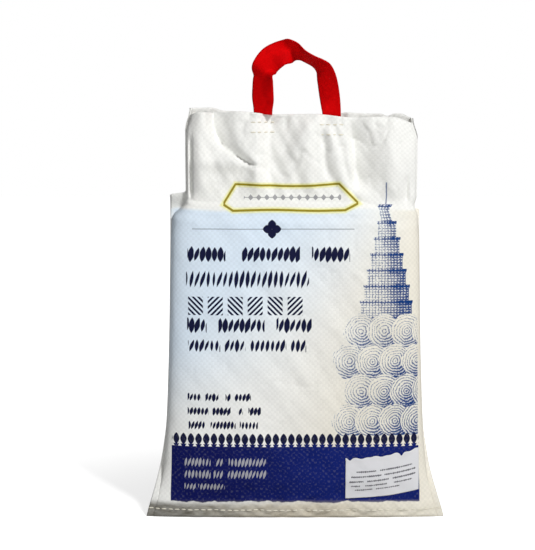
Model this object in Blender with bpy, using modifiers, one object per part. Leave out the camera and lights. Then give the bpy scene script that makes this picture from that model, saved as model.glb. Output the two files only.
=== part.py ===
"""A rice sack: a standing woven sack with an open collar, a red carrying strap and a paper label.

The sack is a flat woven tube, sewn shut at the bottom, that a filling of rice has rounded out. It stands on
its settled base with the sewn hem along the front foot. Its empty top stands up as a creased collar, and
the strap's ends are sewn between the collar's two plies.

+Z is up and the printed front faces -Y. The origin is at the centre of the bounding box's foot.
"""

import math

import bmesh
import bpy
from mathutils import Vector

# Driving sizes, in metres.
FLAT_HALF_WIDTH = 0.166  # half of the flat tube's width, which the sewn hem keeps
HEM_HEIGHT = 0.012
SHOULDER_HEIGHT = 0.343  # where the rice ends and the collar starts
COLLAR_TOP = 0.447
COLLAR_TILT = -0.035  # the mouth's edge falls from left to right, as a slope
BODY_HALF_WIDTH = 0.1385
BODY_SLUMP = 0.009  # how far the filling spreads at the foot, on each side
COLLAR_HALF_WIDTH = 0.128
COLLAR_SHIFT = 0.007  # the collar leans to the right
CREASE = 0.0015  # the pressed fold that runs up each side of the tube
PLY = 0.0016  # the woven wall, drawn thicker than the cloth so that it holds together as a solid
FIN_HALF_THICKNESS = 0.0006
MOUTH_DEPTH = 0.055
MOUTH_FLOOR_GAP = 0.0030
MOUTH_FLOOR_Y = 0.002
HEM_FLARE_HEIGHT = 0.030
EAR_LEFT_TOP = 0.3575
EAR_RIGHT_TOP = 0.3400
EAR_EDGE = 0.003  # the height over which an ear's top edge ends
FOOT_ROUNDING = 0.006
TOP_ROUNDING = 0.007

# Profiles seen from the side, as (height, y): the shape's own turning points.
FRONT_PROFILE = (
    (0.000, -0.0430), (0.004, -0.0455), (0.009, -0.0455), (HEM_HEIGHT, -0.0435), (0.015, -0.0388),
    (0.020, -0.0390), (0.045, -0.0425), (0.110, -0.0410), (0.230, -0.0380), (0.290, -0.0350),
    (0.322, -0.0280), (0.336, -0.0200), (SHOULDER_HEIGHT, -0.0120), (0.356, -0.0125), (0.400, -0.0150),
    (COLLAR_TOP, -0.0120),
)
BACK_PROFILE = (
    (0.000, 0.0250), (0.006, 0.0300), (0.020, 0.0330), (0.060, 0.0345), (0.200, 0.0345),
    (0.290, 0.0325), (0.325, 0.0275), (0.340, 0.0225), (0.356, 0.0200), (0.400, 0.0160), (COLLAR_TOP, 0.0125),
)
# Where the side creases and the hem's ends lie between front and back.
SIDE_PROFILE = (
    (0.000, -0.0360), (0.020, -0.0330), (0.060, -0.0150), (0.110, -0.0040), (0.250, 0.0010),
    (0.330, 0.0080), (SHOULDER_HEIGHT, 0.0100), (0.360, 0.0050), (0.400, 0.0010), (COLLAR_TOP, 0.0010),
)
# How square the section is: 2 is an ellipse.
SQUARENESS = (
    (0.000, 3.4), (0.060, 3.4), (0.250, 3.6), (0.330, 3.2), (0.360, 2.6), (COLLAR_TOP, 2.4),
)
LEVELS_MM = (
    0, 4, 9, 12, 15, 20, 30, 44, 64, 90, 120, 155, 190, 225, 258, 286, 306, 322, 332, 338, 340, 343,
    347, 352, 357.5, 360, 366, 375, 386, 398, 410, 422, 434, 447,
)
MOUTH_STEPS = 6
MOUTH_OPEN_SHARE = 0.5  # how much of the mouth's depth stays open before the plies draw together
HALF_POINTS = 34  # points along the front, and along the back, of one ring
FIN_POINTS = 3

# Folds of the collar: (x, depth, half width, lowest height, highest height). A negative depth is a ridge.
FRONT_FOLDS = (
    (-0.078, 0.0120, 0.012, 0.396, 0.460),
    (-0.052, 0.0050, 0.016, 0.370, 0.400),
    (-0.018, 0.0040, 0.012, 0.372, 0.402),
    (0.006, -0.0030, 0.012, 0.360, 0.430),
    (0.047, 0.0030, 0.007, 0.365, 0.402),
    (0.079, 0.0070, 0.013, 0.358, 0.434),
    (0.106, -0.0040, 0.014, 0.352, 0.445),
)
BACK_FOLDS = (
    (-0.070, -0.0060, 0.015, 0.365, 0.455),
    (-0.022, 0.0030, 0.015, 0.360, 0.430),
    (0.030, -0.0045, 0.014, 0.360, 0.432),
    (0.088, -0.0050, 0.013, 0.362, 0.450),
)
FOLD_FADE = 0.018

# The strap.
STRAP_THICKNESS = 0.0014
STRAP_GAP = 0.0015
STRAP_PATH_STEPS = 56
STRAP_ACROSS = 4
# Its stations, as (x, z) of the middle, lean of the width from upright in degrees, tilt towards the back of
# the outer edge in degrees, and width.
STRAP_STATIONS = (
    ((-0.0360, 0.4220), -90, 0, 0.0215),
    ((-0.0360, 0.4480), -90, 0, 0.0220),
    ((-0.0370, 0.4640), -92, -6, 0.0265),
    ((-0.0370, 0.4780), -90, -12, 0.0275),
    ((-0.0355, 0.4900), -72, -2, 0.0275),
    ((-0.0310, 0.4990), -50, 14, 0.0275),
    ((-0.0220, 0.5080), -28, 22, 0.0275),
    ((-0.0110, 0.5145), -14, 16, 0.0275),
    ((-0.0010, 0.5175), -4, -8, 0.0275),
    ((0.0070, 0.5140), 8, -40, 0.0275),
    ((0.0140, 0.5085), 22, -62, 0.0275),
    ((0.0220, 0.5030), 36, -62, 0.0275),
    ((0.0305, 0.4970), 54, -48, 0.0275),
    ((0.0345, 0.4880), 68, -36, 0.0275),
    ((0.0365, 0.4740), 80, -22, 0.0265),
    ((0.0380, 0.4600), 88, -8, 0.0245),
    ((0.0400, 0.4460), 90, 0, 0.0220),
    ((0.0400, 0.4220), 90, 0, 0.0215),
)

# The label, in the front panel's own coordinates: x across, height up the front.
LABEL_LEFT = 0.056
LABEL_RIGHT = 0.137
LABEL_FOOT = 0.021
LABEL_HEIGHT = 0.046
LABEL_RISE = 0.010  # the right end sits higher, where the panel turns round the side
LABEL_THICKNESS = 0.0004
LABEL_GAP = 0.0008
LABEL_STEPS = (16, 9)

WHITE_CLOTH = ("woven white", (0.86, 0.86, 0.83, 1.0), 0.45)
RED_STRAP = ("red strap", (0.55, 0.0, 0.005, 1.0), 0.55)
PAPER = ("label paper", (0.88, 0.88, 0.88, 1.0), 0.40)


def clear_scene():
    for old in list(bpy.data.objects):
        bpy.data.objects.remove(old, do_unlink=True)


def new_collection(name):
    collection = bpy.data.collections.new(name)
    bpy.context.scene.collection.children.link(collection)
    return collection


def material(name, colour, roughness):
    made = bpy.data.materials.new(name)
    made.use_nodes = True
    shader = made.node_tree.nodes["Principled BSDF"]
    shader.inputs["Base Color"].default_value = colour
    shader.inputs["Roughness"].default_value = roughness
    shader.inputs["Metallic"].default_value = 0.0
    return made


def along(stations, place):
    """The value at a place on a smooth curve through (place, value) stations, with no overshoot."""
    if place <= stations[0][0]:
        return stations[0][1]
    for (low, before), (high, after) in zip(stations, stations[1:]):
        if place <= high:
            share = (place - low) / (high - low)
            return before + (after - before) * share * share * (3 - 2 * share)
    return stations[-1][1]


def fade(value, low, high):
    """0 below low, 1 above high and a smooth ramp between."""
    share = min(1.0, max(0.0, (value - low) / (high - low)))
    return share * share * (3 - 2 * share)


def folds_at(folds, x, z):
    """How far a ply is pushed inwards, towards the other ply, by the collar's folds."""
    total = 0.0
    for place, depth, half_width, low, high in folds:
        reach = fade(z, low - FOLD_FADE, low) * (1 - fade(z, high, high + FOLD_FADE))
        total += depth * reach * math.exp(-(((x - place) / half_width) ** 2))
    return total


def body_half_width(z):
    """Half the width of the filled part's outline, creases and top corners included."""
    return BODY_HALF_WIDTH + BODY_SLUMP * (1 - min(z, SHOULDER_HEIGHT) / SHOULDER_HEIGHT) ** 2


def box_half_width(z):
    """Half the width of the rounded section, without the flat fins at its sides."""
    filled = body_half_width(z) - FOOT_ROUNDING * (1 - fade(z, 0.0, HEM_FLARE_HEIGHT))
    filled -= TOP_ROUNDING * fade(z, SHOULDER_HEIGHT - 0.035, SHOULDER_HEIGHT)
    to_collar = fade(z, SHOULDER_HEIGHT - 0.010, SHOULDER_HEIGHT + 0.006)
    return filled + (COLLAR_HALF_WIDTH - filled) * to_collar


def fin_length(z, side, ear_top):
    """How far the two plies run on beside the section: the hem's flare, the crease and the ear."""
    section = box_half_width(z)
    hem = (FLAT_HALF_WIDTH - section) * math.exp(-z / HEM_FLARE_HEIGHT)
    foot = max(0.0, hem - CREASE) * (1 - fade(z, 0.08, 0.14))
    corner = max(0.0, body_half_width(z) - section - side * shift(z))
    return CREASE + foot + corner * fade(z, 0.20, 0.30) * (1 - fade(z, ear_top, ear_top + EAR_EDGE))


def shift(z):
    return COLLAR_SHIFT * fade(z, SHOULDER_HEIGHT - 0.012, SHOULDER_HEIGHT + 0.012)


def lift(x, z):
    """The height of a point of a ring: the collar's edge slopes a little."""
    return z + COLLAR_TILT * x * fade(z, SHOULDER_HEIGHT + 0.02, COLLAR_TOP)


def half_ring(z, side, inset=0.0, closing=0.0):
    """The points of a ring's front (side -1) or back (side 1), from the left tip to the right tip.

    inset makes the ring smaller, for the mouth's inner wall, and closing draws front and back together.
    """
    half_width = box_half_width(z) - inset
    centre = shift(z)
    side_y = along(SIDE_PROFILE, z)
    wall_y = along(FRONT_PROFILE if side < 0 else BACK_PROFILE, z) - side * inset
    power = 2.0 / along(SQUARENESS, z)
    folds = FRONT_FOLDS if side < 0 else BACK_FOLDS
    points = []
    for k in range(HALF_POINTS + 1):
        angle = math.pi * (1 - k / HALF_POINTS)
        across = math.copysign(abs(math.cos(angle)) ** power, math.cos(angle))
        x = centre + half_width * across
        y = side_y + (wall_y - side_y) * math.sin(angle) ** power
        y -= side * folds_at(folds, x, z) * math.sin(angle) ** power
        rest_y = MOUTH_FLOOR_Y + side * 0.5 * MOUTH_FLOOR_GAP * math.sin(angle) ** power
        points.append((x, y + (rest_y - y) * closing))
    return points, centre, half_width, side_y


def ring(z):
    """One outer ring, anticlockwise from above, starting at the left tip: fin, front, fin, back."""
    front, centre, half_width, side_y = half_ring(z, -1)
    back, *_ = half_ring(z, 1)
    left_fin = fin_length(z, -1, EAR_LEFT_TOP)
    right_fin = fin_length(z, 1, EAR_RIGHT_TOP)
    thin = FIN_HALF_THICKNESS

    def fin(edge, length, way):
        """One face of a fin, from the section's side out towards its tip."""
        shares = [k / FIN_POINTS for k in range(1, FIN_POINTS)]
        return [(edge + way * length * share, thin * (1 - 0.75 * share)) for share in shares]

    left_edge = centre - half_width
    right_edge = centre + half_width
    outline = [(left_edge - left_fin, side_y)]
    outline += [(x, side_y - t) for x, t in reversed(fin(left_edge, left_fin, -1))]
    outline += [(front[0][0], side_y - thin)] + front[1:-1] + [(front[-1][0], side_y - thin)]
    outline += [(x, side_y - t) for x, t in fin(right_edge, right_fin, 1)]
    outline += [(right_edge + right_fin, side_y)]
    outline += [(x, side_y + t) for x, t in reversed(fin(right_edge, right_fin, 1))]
    outline += [(back[-1][0], side_y + thin)] + back[-2:0:-1] + [(back[0][0], side_y + thin)]
    outline += [(x, side_y + t) for x, t in fin(left_edge, left_fin, -1)]
    return [(x, y, lift(x, z)) for x, y in outline]


def mouth_ring(z, closing):
    """One ring of the mouth's inner wall, in the same order."""
    front, *_ = half_ring(z, -1, PLY, closing)
    back, *_ = half_ring(z, 1, PLY, closing)
    return [(x, y, lift(x, z)) for x, y in front + back[-2:0:-1]]


def stitch_rows(mesh, lower, upper):
    """Joins two rings of unlike counts, walking both by their share of the way round."""
    a, b = 0, 0
    while a < len(lower) or b < len(upper):
        low, high = lower[a % len(lower)], upper[b % len(upper)]
        if b >= len(upper) or (a < len(lower) and (a + 1) / len(lower) <= (b + 1) / len(upper)):
            mesh.faces.new((low, lower[(a + 1) % len(lower)], high))
            a += 1
        else:
            mesh.faces.new((low, upper[(b + 1) % len(upper)], high))
            b += 1


def bridge(mesh, lower, upper):
    """Quads between two rings of equal counts, facing out for rings that run anticlockwise and climb."""
    for k in range(len(lower)):
        after = (k + 1) % len(lower)
        mesh.faces.new((lower[k], lower[after], upper[after], upper[k]))


def add_object(name, mesh, finish, collection):
    data = bpy.data.meshes.new(name)
    mesh.normal_update()
    mesh.to_mesh(data)
    mesh.free()
    data.materials.append(finish)
    data.shade_smooth()
    data.set_sharp_from_angle(angle=math.radians(40))
    made = bpy.data.objects.new(name, data)
    collection.objects.link(made)
    return made


def make_sack(collection, finish):
    """The filled sack and its collar as one closed solid, lofted through rings and turned in at the mouth."""
    mesh = bmesh.new()
    rings = [[mesh.verts.new(p) for p in ring(level / 1000)] for level in LEVELS_MM]
    mesh.faces.new(reversed(rings[0]))
    for lower, upper in zip(rings, rings[1:]):
        bridge(mesh, lower, upper)
    inner = []
    for step in range(MOUTH_STEPS + 1):
        share = step / MOUTH_STEPS
        closing = fade(share, MOUTH_OPEN_SHARE, 1.0)
        inner.append([mesh.verts.new(p) for p in mouth_ring(COLLAR_TOP - MOUTH_DEPTH * share, closing)])
    stitch_rows(mesh, rings[-1], inner[0])
    for upper, lower in zip(inner, inner[1:]):
        bridge(mesh, upper, lower)
    mesh.faces.new(inner[-1])
    bmesh.ops.triangulate(mesh, faces=mesh.faces[:])
    return add_object("sack", mesh, finish, collection)


def strap_section(share):
    """The middle, width direction and width of the strap at a share of its length."""
    place = share * (len(STRAP_STATIONS) - 1)
    k = min(int(place), len(STRAP_STATIONS) - 2)
    t = place - k
    around = [STRAP_STATIONS[min(max(k + step, 0), len(STRAP_STATIONS) - 1)] for step in (-1, 0, 1, 2)]

    def spline(values):
        """A Catmull-Rom step through four values."""
        a, b, c, d = values
        square = 2 * a - 5 * b + 4 * c - d
        cube = 3 * b - a - 3 * c + d
        return 0.5 * (2 * b + (c - a) * t + square * t**2 + cube * t**3)

    x = spline([s[0][0] for s in around])
    z = spline([s[0][1] for s in around])
    lean = math.radians(spline([s[1] for s in around]))
    tilt = math.radians(spline([s[2] for s in around]))
    outwards = Vector((math.sin(lean) * math.cos(tilt), math.sin(tilt), math.cos(lean) * math.cos(tilt)))
    return Vector((x, strap_depth(), z)), outwards, spline([s[3] for s in around])


def strap_depth():
    """The strap hangs against the inner face of the collar's front ply."""
    return along(FRONT_PROFILE, COLLAR_TOP) + PLY + STRAP_GAP + 0.5 * STRAP_THICKNESS


def make_strap(collection, finish):
    """A flat strap whose ends are sewn inside the front ply and whose loop twists over at the top."""
    mesh = bmesh.new()
    rows = []
    for step in range(STRAP_PATH_STEPS + 1):
        middle, outwards, width = strap_section(step / STRAP_PATH_STEPS)
        shares = [k / STRAP_ACROSS - 0.5 for k in range(STRAP_ACROSS + 1)]
        rows.append([mesh.verts.new(middle + outwards * width * share) for share in shares])
    for first, second in zip(rows, rows[1:]):
        for k in range(STRAP_ACROSS):
            mesh.faces.new((first[k], first[k + 1], second[k + 1], second[k]))
    strap = add_object("strap", mesh, finish, collection)
    wall = strap.modifiers.new("thickness", "SOLIDIFY")
    wall.thickness = STRAP_THICKNESS
    wall.offset = 0.0
    return strap


def make_label(collection, finish, sack):
    """A paper label stuck over the lower right of the front, wrapped onto the sack's own surface."""
    mesh = bmesh.new()
    columns, rows = LABEL_STEPS
    bmesh.ops.create_grid(mesh, x_segments=columns, y_segments=rows, size=0.5)
    for corner in mesh.verts:
        across, up = corner.co.x + 0.5, corner.co.y + 0.5
        x = LABEL_LEFT + (LABEL_RIGHT - LABEL_LEFT) * across
        z = LABEL_FOOT + LABEL_RISE * across**2 + LABEL_HEIGHT * up
        corner.co = Vector((x, along(FRONT_PROFILE, z), z))
    label = add_object("label", mesh, finish, collection)
    wrap = label.modifiers.new("onto the sack", "SHRINKWRAP")
    wrap.target = sack
    wrap.wrap_method = "PROJECT"
    wrap.wrap_mode = "ABOVE_SURFACE"
    wrap.use_project_x = False
    wrap.use_project_y = True
    wrap.use_positive_direction = True
    wrap.use_negative_direction = True
    wrap.offset = LABEL_GAP
    wall = label.modifiers.new("thickness", "SOLIDIFY")
    wall.thickness = LABEL_THICKNESS
    wall.offset = 1.0
    return label


def centre_on_foot(objects):
    """Moves the objects so that the origin lies at the middle of the whole box's foot."""
    bpy.context.view_layer.update()
    corners = [o.matrix_world @ v.co for o in objects for v in o.data.vertices]
    middle = [0.5 * (min(c[k] for c in corners) + max(c[k] for c in corners)) for k in range(2)]
    for o in objects:
        o.data.transform(o.matrix_world)
        o.location = (-middle[0], -middle[1], 0.0)


def main():
    clear_scene()
    collection = new_collection("rice sack")
    sack = make_sack(collection, material(*WHITE_CLOTH))
    strap = make_strap(collection, material(*RED_STRAP))
    label = make_label(collection, material(*PAPER), sack)
    centre_on_foot([sack, strap, label])


main()
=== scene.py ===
"""The looks of a rice sack: printed woven cloth, a red strap, a paper label and sewing thread."""

import math

import bpy
import numpy as np
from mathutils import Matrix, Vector
from mathutils.bvhtree import BVHTree


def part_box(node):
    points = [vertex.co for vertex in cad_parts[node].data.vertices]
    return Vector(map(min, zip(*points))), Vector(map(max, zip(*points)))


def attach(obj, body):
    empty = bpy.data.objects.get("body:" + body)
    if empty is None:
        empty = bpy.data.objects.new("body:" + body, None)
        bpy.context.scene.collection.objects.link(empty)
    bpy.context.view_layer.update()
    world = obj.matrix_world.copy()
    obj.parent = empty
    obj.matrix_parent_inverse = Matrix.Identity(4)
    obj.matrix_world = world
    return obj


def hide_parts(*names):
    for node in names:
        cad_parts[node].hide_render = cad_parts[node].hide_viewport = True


bl_info = {
    "name": "Rice sack",
    "version": (1, 0, 0),
    "blender": (4, 5, 0),
    "location": "View3D > Sidebar > Rice sack",
    "description": "Models a filled woven rice sack around its construction frame",
    "category": "Add Mesh",
}

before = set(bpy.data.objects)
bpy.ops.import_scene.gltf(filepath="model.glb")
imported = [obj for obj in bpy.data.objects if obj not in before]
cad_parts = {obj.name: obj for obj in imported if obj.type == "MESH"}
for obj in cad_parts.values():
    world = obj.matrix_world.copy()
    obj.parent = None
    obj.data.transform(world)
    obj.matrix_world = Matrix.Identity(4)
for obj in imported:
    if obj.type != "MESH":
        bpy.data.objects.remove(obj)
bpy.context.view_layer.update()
SACK_LOW, SACK_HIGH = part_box("sack")
LABEL_LOW, LABEL_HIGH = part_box("label")


# ---------------------------------------------------------------------------------------------------------
# Settings
# ---------------------------------------------------------------------------------------------------------

def length(name, description, default):
    return bpy.props.FloatProperty(
        name=name, description=description, default=default, unit="LENGTH", subtype="DISTANCE", precision=4
    )


def colour(name, description, default):
    return bpy.props.FloatVectorProperty(
        name=name, description=description, default=default, size=3, subtype="COLOR", min=0.0, max=1.0
    )


def srgb(red, green, blue):
    """A display colour, 0 to 255, as the linear colour that the shaders take."""
    shares = [value / 255 for value in (red, green, blue)]
    return tuple(s / 12.92 if s <= 0.04045 else ((s + 0.055) / 1.055) ** 2.4 for s in shares)


class SackSettings(bpy.types.PropertyGroup):
    flat_width: length("Flat width", "Width of the flat woven tube", SACK_HIGH.x - SACK_LOW.x)
    collar_top: length("Collar height", "Height of the mouth's edge at its middle", 0.447)
    tape: length("Tape width", "Width of one woven tape", 0.0030)
    mouth_depth: length("Mouth depth", "Depth to which the mouth is open", 0.055)
    cloth: colour("Cloth", "The plain woven tape", srgb(244, 244, 240))
    # The cool and warm tints are partly the print's pale field and partly painted light: painted cool shade on
    # the upper left, painted warm light on the right.
    cool_print_and_shade: colour("Cool tint", "The pale blue field of the print, at the upper left", srgb(223, 237, 250))
    warm_print_and_light: colour("Warm tint", "The cream field of the print, at the right", srgb(238, 233, 219))
    navy: colour("Navy ink", "The band and the marks", srgb(2, 12, 84))
    blue: colour("Blue ink", "The plain tower and the round trees", srgb(14, 58, 122))
    wash: colour("Blue wash", "The picture's thin ink", srgb(86, 134, 184))
    gold: colour("Gold ink", "The outline of the name field", srgb(150, 135, 35))


class StrapSettings(bpy.types.PropertyGroup):
    width: length("Width", "Width of the webbing", 0.0275)
    thickness: length("Thickness", "Thickness of the webbing", 0.0014)
    rib: length("Rib", "Spacing of the webbing's ribs", 0.0011)
    red: colour("Red", "The webbing's colour", srgb(224, 2, 5))


class LabelSettings(bpy.types.PropertyGroup):
    thickness: length("Thickness", "Thickness of the paper", 0.0003)
    lift: length("Lift", "How far the paper stands off the cloth", 0.0006)
    paper: colour("Paper", "The coated paper", srgb(222, 222, 225))
    ink: colour("Ink", "The label's marks", srgb(45, 45, 55))


class StageSettings(bpy.types.PropertyGroup):
    distance: length("Distance", "From the camera to the sack", 1.90)
    elevation: bpy.props.FloatProperty(
        name="Elevation", description="How far above level the camera stands",
        default=math.radians(6.0), unit="ROTATION", subtype="ANGLE",
    )


def settings(name):
    return getattr(bpy.context.scene, name)


# ---------------------------------------------------------------------------------------------------------
# Small helpers
# ---------------------------------------------------------------------------------------------------------

def ramp(value, low, high):
    """0 below low, 1 above high and a smooth ramp between, for numbers and arrays."""
    share = np.clip((value - low) / (high - low), 0.0, 1.0)
    return share * share * (3 - 2 * share)


def bump(value, middle, half_width):
    """A smooth hump of height 1 round the middle."""
    return np.exp(-(((value - middle) / half_width) ** 2))


def along(stations, place):
    """The values at places on a smooth curve through (place, value) stations, with no overshoot."""
    places = np.array([station[0] for station in stations], float)
    values = np.array([station[1] for station in stations], float)
    place = np.clip(place, places[0], places[-1])
    k = np.clip(np.searchsorted(places, place, side="right") - 1, 0, len(places) - 2)
    share = (place - places[k]) / (places[k + 1] - places[k])
    return values[k] + (values[k + 1] - values[k]) * share * share * (3 - 2 * share)


WAVES_PER_OCTAVE = 7


def noise_field(across, up, seed, octaves):
    """Smooth noise over a grid of places, from a few random waves.

    octaves holds (waves across, waves up, height).
    """
    source = np.random.default_rng(seed)
    total = np.zeros(np.broadcast(across, up).shape)
    for waves_across, waves_up, height in octaves:
        for _ in range(WAVES_PER_OCTAVE):
            a = waves_across * source.uniform(0.6, 1.4) * source.choice((-1, 1))
            b = waves_up * source.uniform(0.6, 1.4)
            turn = source.uniform(0, 2 * math.pi)
            total += height / math.sqrt(WAVES_PER_OCTAVE) * np.sin(2 * math.pi * (a * across + b * up) + turn)
    return total


def deselect():
    if bpy.context.object and bpy.context.object.mode != "OBJECT":
        bpy.ops.object.mode_set(mode="OBJECT")
    bpy.ops.object.select_all(action="DESELECT")


def flat_sheet(name, columns, rows):
    """A flat grid of unit size, columns by rows quads, ready to be shaped. Its points run row by row."""
    deselect()
    bpy.ops.mesh.primitive_grid_add(x_subdivisions=columns, y_subdivisions=rows, size=1.0)
    sheet = bpy.context.object
    sheet.name = name
    sheet.data.name = name
    return sheet


def place_points(mesh, points):
    mesh.vertices.foreach_set("co", np.ascontiguousarray(points, np.float32).ravel())
    mesh.update()


def points_of(mesh):
    points = np.zeros(len(mesh.vertices) * 3, np.float32)
    mesh.vertices.foreach_get("co", points)
    return points.reshape(-1, 3).astype(float)


def set_uv(mesh, uv):
    """Gives each corner the flat coordinates, in metres, of its point."""
    layer = mesh.uv_layers.active or mesh.uv_layers.new(name="UVMap")
    corners = np.zeros(len(mesh.loops), np.int32)
    mesh.loops.foreach_get("vertex_index", corners)
    layer.data.foreach_set("uv", np.ascontiguousarray(uv[corners], np.float32).ravel())


def finish_piece(piece, finish, slot, *nodes):
    """The last steps of every piece: smooth shading, its finish, its body and the solid it stands for."""
    deselect()
    piece.select_set(True)
    bpy.context.view_layer.objects.active = piece
    bpy.ops.object.transform_apply(location=True, rotation=True, scale=True)
    bpy.ops.object.shade_smooth()
    piece.data.materials.clear()
    piece.data.materials.append(finish)
    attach(piece, "root")
    if nodes:
        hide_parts(*nodes)
    return piece


# ---------------------------------------------------------------------------------------------------------
# Shader helpers
# ---------------------------------------------------------------------------------------------------------

class Value:
    """A shader number: arithmetic on it adds Math nodes."""

    def __init__(self, shader, socket):
        self.shader = shader
        self.socket = socket

    def __add__(self, other):
        return self.shader.math("ADD", self, other)

    def __radd__(self, other):
        return self.shader.math("ADD", other, self)

    def __sub__(self, other):
        return self.shader.math("SUBTRACT", self, other)

    def __rsub__(self, other):
        return self.shader.math("SUBTRACT", other, self)

    def __mul__(self, other):
        return self.shader.math("MULTIPLY", self, other)

    def __rmul__(self, other):
        return self.shader.math("MULTIPLY", other, self)

    def __truediv__(self, other):
        return self.shader.math("DIVIDE", self, other)


class Finish:
    """A material under construction, with short names for the nodes that patterns are made of."""

    def __init__(self, name, roughness, specular):
        self.material = bpy.data.materials.new(name)
        self.material.use_nodes = True
        self.tree = self.material.node_tree
        self.shader = self.tree.nodes["Principled BSDF"]
        self.shader.inputs["Roughness"].default_value = roughness
        self.shader.inputs["Specular IOR Level"].default_value = specular

    def node(self, kind, **values):
        made = self.tree.nodes.new(kind)
        for key, value in values.items():
            setattr(made, key, value)
        return made

    def feed(self, socket, value):
        if isinstance(value, Value):
            self.tree.links.new(value.socket, socket)
        elif isinstance(value, bpy.types.NodeSocket):
            self.tree.links.new(value, socket)
        elif isinstance(value, (tuple, list)) or hasattr(value, "r"):
            socket.default_value = (*tuple(value)[:3], 1.0)
        else:
            socket.default_value = value

    def math(self, operation, *values, clamp=False):
        made = self.node("ShaderNodeMath", operation=operation, use_clamp=clamp)
        for socket, value in zip(made.inputs, values):
            self.feed(socket, value)
        return Value(self, made.outputs[0])

    def highest(self, *values):
        total = values[0]
        for value in values[1:]:
            total = self.math("MAXIMUM", total, value)
        return total

    def lowest(self, *values):
        total = values[0]
        for value in values[1:]:
            total = self.math("MINIMUM", total, value)
        return total

    def ramp(self, value, low, high):
        """A smooth step from 0 at low to 1 at high."""
        made = self.node("ShaderNodeMapRange", interpolation_type="SMOOTHSTEP")
        for socket, entry in zip(made.inputs, (value, low, high, 0.0, 1.0)):
            self.feed(socket, entry)
        return Value(self, made.outputs[0])

    def between(self, value, low, high, soft=0.0002):
        """1 inside low to high."""
        return self.ramp(value, low - soft, low + soft) * self.ramp(high - value, -soft, soft)

    def box(self, x, y, left, right, foot, top, soft=0.0002):
        return self.between(x, left, right, soft) * self.between(y, foot, top, soft)

    def flat_map(self):
        """The piece's own flat coordinates, in metres, as two numbers."""
        split = self.node("ShaderNodeSeparateXYZ")
        self.feed(split.inputs[0], self.node("ShaderNodeUVMap", uv_map="UVMap").outputs[0])
        return Value(self, split.outputs[0]), Value(self, split.outputs[1])

    def pair(self, x, y):
        made = self.node("ShaderNodeCombineXYZ")
        self.feed(made.inputs[0], x)
        self.feed(made.inputs[1], y)
        return made.outputs[0]

    def noise(self, x, y, scale, detail=2.0, roughness=0.5):
        made = self.node("ShaderNodeTexNoise", noise_dimensions="2D")
        self.feed(made.inputs["Vector"], self.pair(x, y))
        made.inputs["Scale"].default_value = scale
        made.inputs["Detail"].default_value = detail
        made.inputs["Roughness"].default_value = roughness
        return Value(self, made.outputs["Fac"])

    def chance(self, cell):
        """A random number from 0 to 1 for each whole number."""
        made = self.node("ShaderNodeTexWhiteNoise", noise_dimensions="1D")
        self.feed(made.inputs["W"], cell)
        return Value(self, made.outputs["Value"])

    def mix(self, share, before, after):
        made = self.node("ShaderNodeMix", data_type="RGBA")
        self.feed(made.inputs["Factor"], share)
        self.feed(made.inputs["A"], before)
        self.feed(made.inputs["B"], after)
        return made.outputs["Result"]

    def raise_surface(self, height, distance, strength=1.0):
        made = self.node("ShaderNodeBump")
        made.inputs["Strength"].default_value = strength
        made.inputs["Distance"].default_value = distance
        self.feed(made.inputs["Height"], height)
        self.feed(self.shader.inputs["Normal"], made.outputs["Normal"])


# ---------------------------------------------------------------------------------------------------------
# The sack's shape
# ---------------------------------------------------------------------------------------------------------

SHIFT_Y = SACK_HIGH.y - 0.0345  # from the profiles' own middle to the frame's
BODY_HALF_WIDTH = 0.1385
BODY_SLUMP = 0.009
COLLAR_HALF_WIDTH = 0.128
COLLAR_SHIFT = 0.007
COLLAR_TILT = -0.035
FOOT_SPREAD = 0.012
TOP_ROUNDING = 0.002
HEM_FLARE_HEIGHT = 0.036
CREASE = 0.0015
EAR_TOPS = (0.3575, 0.3400)

FRONT_PROFILE = (
    (0.000, -0.0420), (0.003, -0.0462), (0.011, -0.0472), (0.0155, -0.0450), (0.0190, -0.0392),
    (0.0230, -0.0386), (0.045, -0.0425), (0.110, -0.0410), (0.230, -0.0385), (0.290, -0.0368),
    (0.326, -0.0335), (0.338, -0.0300), (0.345, -0.0225), (0.351, -0.0140), (0.362, -0.0125),
    (0.400, -0.0150), (0.447, -0.0120),
)
BACK_PROFILE = (
    (0.000, 0.0250), (0.006, 0.0300), (0.020, 0.0330), (0.060, 0.0345), (0.200, 0.0345),
    (0.290, 0.0325), (0.325, 0.0275), (0.340, 0.0225), (0.356, 0.0200), (0.400, 0.0160), (0.447, 0.0125),
)
SIDE_PROFILE = (
    (0.000, -0.0360), (0.020, -0.0330), (0.060, -0.0150), (0.110, -0.0040), (0.250, 0.0010),
    (0.330, 0.0080), (0.343, 0.0100), (0.360, 0.0050), (0.400, 0.0010), (0.447, 0.0010),
)
SQUARENESS = (
    (0.000, 2.2), (0.020, 2.5), (0.060, 3.6), (0.110, 4.4), (0.250, 5.5), (0.330, 5.0), (0.360, 5.0),
    (0.447, 4.2),
)

HEIGHT_SAMPLES = 4000
COLUMNS = 176  # quads across one ply
ROWS = 220  # quads up one ply
MOUTH_ROWS = 24  # quads down the mouth's inner wall
BASE_ROWS = 5  # quads from the base's middle to its edge
WALL = 0.0006
INSIDE_MAP = 1.0  # where the mouth's inside and the base lie on the flat map, clear of the print
BASE_MAP = -1.0
FIN_SHARE = 0.045  # share of a ply's points that the crease, ear or hem's flare takes on each side


def body_half_width(z):
    """Half the width of the filled part's outline."""
    return BODY_HALF_WIDTH + BODY_SLUMP * (1 - np.minimum(z, 0.343) / 0.343) ** 2


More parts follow.
